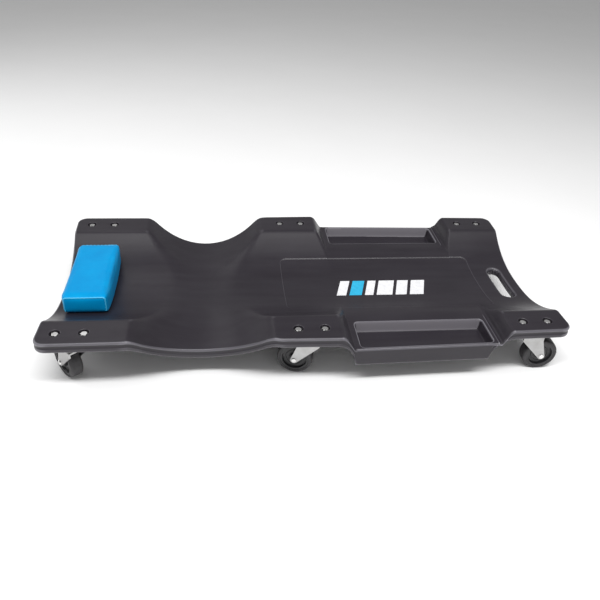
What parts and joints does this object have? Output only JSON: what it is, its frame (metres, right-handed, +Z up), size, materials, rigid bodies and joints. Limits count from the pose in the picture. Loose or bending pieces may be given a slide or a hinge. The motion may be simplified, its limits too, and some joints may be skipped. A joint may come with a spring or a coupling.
{
  "type": "mechanics creeper",
  "caption": "Low rolling board for lying under a vehicle: dished moulded body with arm scoops, tool trays, hand slot, padded head pillow and swivel casters.",
  "frame": {"origin": "on the floor, under the middle of the board", "axes": "+X from the head end to the foot end, +Y to the left of a person lying on it, +Z up"},
  "size_m": [0.9162, 0.444, 0.109],
  "materials": {
    "board_plastic": "dark charcoal blow-moulded polyethylene, fine grain, soft satin on the edges",
    "pillow_vinyl": "azure blue smooth vinyl, satin",
    "foam": "open-cell cushion foam",
    "backing": "thin plywood",
    "zinc_fastener": "bright zinc plating",
    "zinc_pressing": "bright zinc-plated pressed steel",
    "ball_steel": "polished bearing steel",
    "wheel_plastic": "black moulded polypropylene",
    "tyre_rubber": "hard dark grey rubber tread"
  },
  "bodies": {
    "root": {"body_board": "board_plastic", "pillow_cover": "pillow_vinyl", "pillow_foam": "foam", "pillow_board": "backing", "pillow_screws": "zinc_fastener", "caster_bolts": "zinc_fastener", "caster_washers": "zinc_fastener", "caster_nuts": "zinc_fastener", "head_left_plate": "zinc_pressing", "head_left_king_pin": "zinc_fastener", "head_left_balls": "ball_steel", "head_right_plate": "zinc_pressing", "head_right_king_pin": "zinc_fastener", "head_right_balls": "ball_steel", "mid_left_plate": "zinc_pressing", "mid_left_king_pin": "zinc_fastener", "mid_left_balls": "ball_steel", "mid_right_plate": "zinc_pressing", "mid_right_king_pin": "zinc_fastener", "mid_right_balls": "ball_steel", "foot_left_plate": "zinc_pressing", "foot_left_king_pin": "zinc_fastener", "foot_left_balls": "ball_steel", "foot_right_plate": "zinc_pressing", "foot_right_king_pin": "zinc_fastener", "foot_right_balls": "ball_steel"},
    "head_left_swivel": {"head_left_fork": "zinc_pressing", "head_left_axle_rivet": "zinc_fastener", "head_left_bushing": "zinc_fastener"},
    "head_left_wheel": {"head_left_wheel_core": "wheel_plastic", "head_left_tyre": "tyre_rubber"},
    "head_right_swivel": {"head_right_fork": "zinc_pressing", "head_right_axle_rivet": "zinc_fastener", "head_right_bushing": "zinc_fastener"},
    "head_right_wheel": {"head_right_wheel_core": "wheel_plastic", "head_right_tyre": "tyre_rubber"},
    "mid_left_swivel": {"mid_left_fork": "zinc_pressing", "mid_left_axle_rivet": "zinc_fastener", "mid_left_bushing": "zinc_fastener"},
    "mid_left_wheel": {"mid_left_wheel_core": "wheel_plastic", "mid_left_tyre": "tyre_rubber"},
    "mid_right_swivel": {"mid_right_fork": "zinc_pressing", "mid_right_axle_rivet": "zinc_fastener", "mid_right_bushing": "zinc_fastener"},
    "mid_right_wheel": {"mid_right_wheel_core": "wheel_plastic", "mid_right_tyre": "tyre_rubber"},
    "foot_left_swivel": {"foot_left_fork": "zinc_pressing", "foot_left_axle_rivet": "zinc_fastener", "foot_left_bushing": "zinc_fastener"},
    "foot_left_wheel": {"foot_left_wheel_core": "wheel_plastic", "foot_left_tyre": "tyre_rubber"},
    "foot_right_swivel": {"foot_right_fork": "zinc_pressing", "foot_right_axle_rivet": "zinc_fastener", "foot_right_bushing": "zinc_fastener"},
    "foot_right_wheel": {"foot_right_wheel_core": "wheel_plastic", "foot_right_tyre": "tyre_rubber"}
  },
  "joints": [
    {"name": "head_left_swivel_turn", "type": "hinge", "parent": "root", "child": "head_left_swivel", "pos_m": [-0.404, 0.187, 0.0775], "axis": [0, 0, 1], "continuous": true},
    {"name": "head_left_wheel_roll", "type": "hinge", "parent": "head_left_swivel", "child": "head_left_wheel", "pos_m": [-0.41925, 0.16783, 0.03175], "axis": [0.7826, -0.6225, 0], "continuous": true},
    {"name": "head_right_swivel_turn", "type": "hinge", "parent": "root", "child": "head_right_swivel", "pos_m": [-0.404, -0.187, 0.0775], "axis": [0, 0, 1], "continuous": true},
    {"name": "head_right_wheel_roll", "type": "hinge", "parent": "head_right_swivel", "child": "head_right_wheel", "pos_m": [-0.41925, -0.16783, 0.03175], "axis": [-0.7826, -0.6225, 0], "continuous": true},
    {"name": "mid_left_swivel_turn", "type": "hinge", "parent": "root", "child": "mid_left_swivel", "pos_m": [-0.006, 0.182, 0.0775], "axis": [0, 0, 1], "continuous": true},
    {"name": "mid_left_wheel_roll", "type": "hinge", "parent": "mid_left_swivel", "child": "mid_left_wheel", "pos_m": [-0.02967, 0.17566, 0.03175], "axis": [0.2588, -0.9659, 0], "continuous": true},
    {"name": "mid_right_swivel_turn", "type": "hinge", "parent": "root", "child": "mid_right_swivel", "pos_m": [-0.006, -0.182, 0.0775], "axis": [0, 0, 1], "continuous": true},
    {"name": "mid_right_wheel_roll", "type": "hinge", "parent": "mid_right_swivel", "child": "mid_right_wheel", "pos_m": [-0.02967, -0.17566, 0.03175], "axis": [-0.2588, -0.9659, 0], "continuous": true},
    {"name": "foot_left_swivel_turn", "type": "hinge", "parent": "root", "child": "foot_left_swivel", "pos_m": [0.398, 0.1855, 0.0775], "axis": [0, 0, 1], "continuous": true},
    {"name": "foot_left_wheel_roll", "type": "hinge", "parent": "foot_left_swivel", "child": "foot_left_wheel", "pos_m": [0.42248, 0.18635, 0.03175], "axis": [-0.0349, 0.9994, 0], "continuous": true},
    {"name": "foot_right_swivel_turn", "type": "hinge", "parent": "root", "child": "foot_right_swivel", "pos_m": [0.398, -0.1855, 0.0775], "axis": [0, 0, 1], "continuous": true},
    {"name": "foot_right_wheel_roll", "type": "hinge", "parent": "foot_right_swivel", "child": "foot_right_wheel", "pos_m": [0.42248, -0.18635, 0.03175], "axis": [0.0349, 0.9994, 0], "continuous": true}
  ]
}
